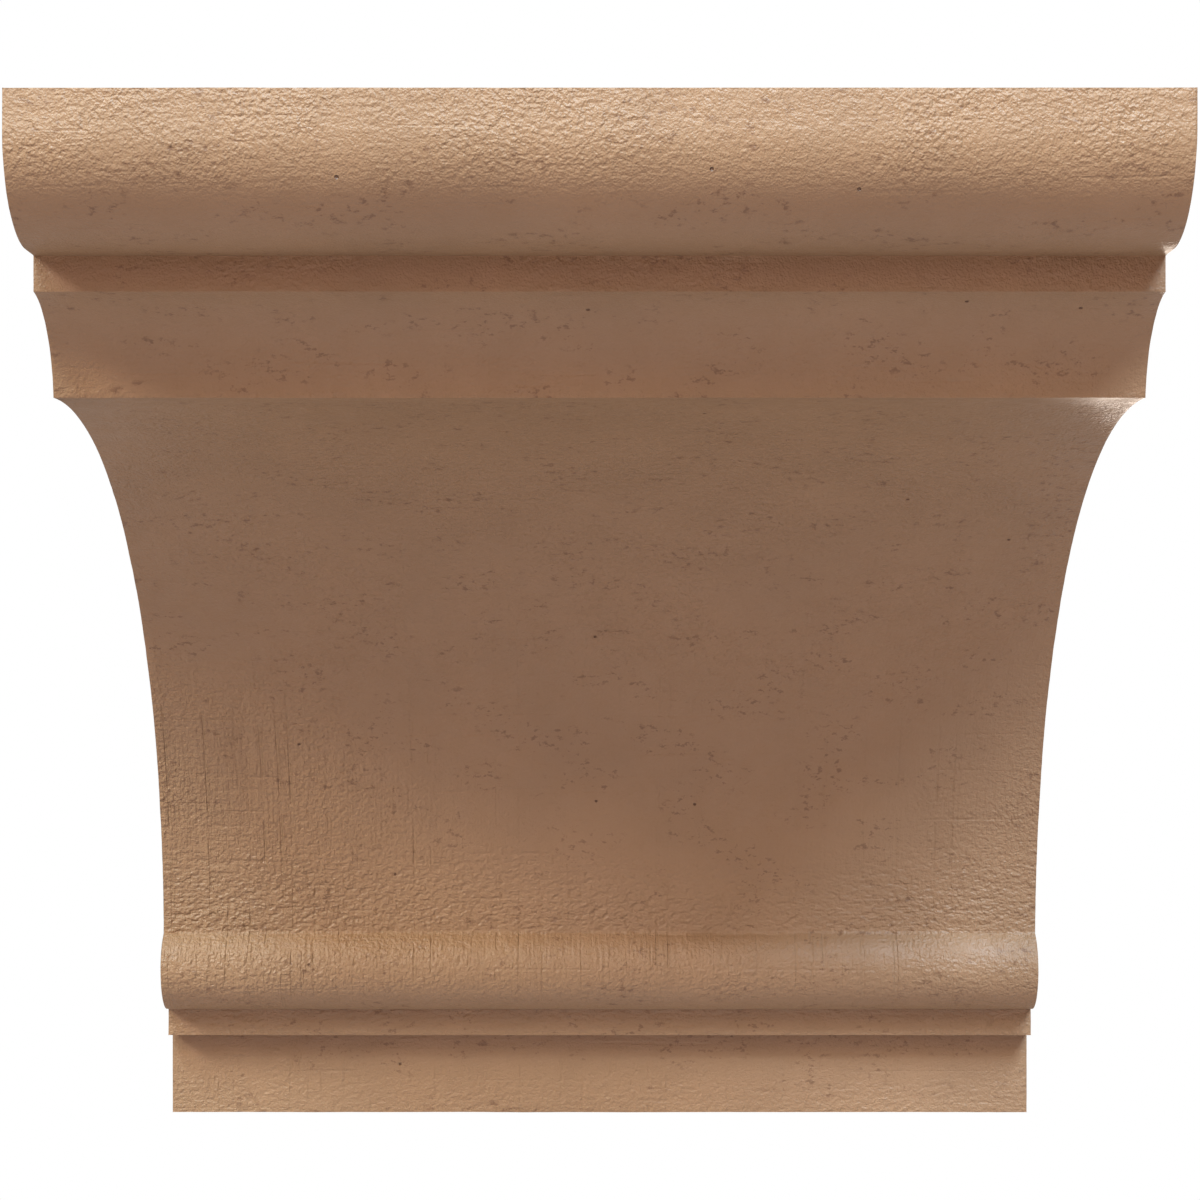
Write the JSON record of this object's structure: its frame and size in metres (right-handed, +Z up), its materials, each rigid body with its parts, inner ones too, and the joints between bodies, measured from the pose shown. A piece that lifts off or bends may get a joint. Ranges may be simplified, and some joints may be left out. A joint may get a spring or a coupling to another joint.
{
  "type": "corbel",
  "caption": "Wall corbel moulded as rough-sawn timber: an overhanging ovolo and cove, a long hollow sweep, a bead and a tail block; its flat top carries a beam or a shelf.",
  "frame": {"origin": "centre of the flat back, on the wall plane", "axes": "+Y into the wall, the front faces -Y; +X across the front, to the viewer's right; +Z up"},
  "size_m": [0.3048, 0.3048, 0.3048],
  "materials": {
    "primed_foam": "tan primer on a rigid foam casting, rough-sawn texture, semi-matt"
  },
  "bodies": {
    "root": {"corbel": "primed_foam"}
  },
  "joints": []
}
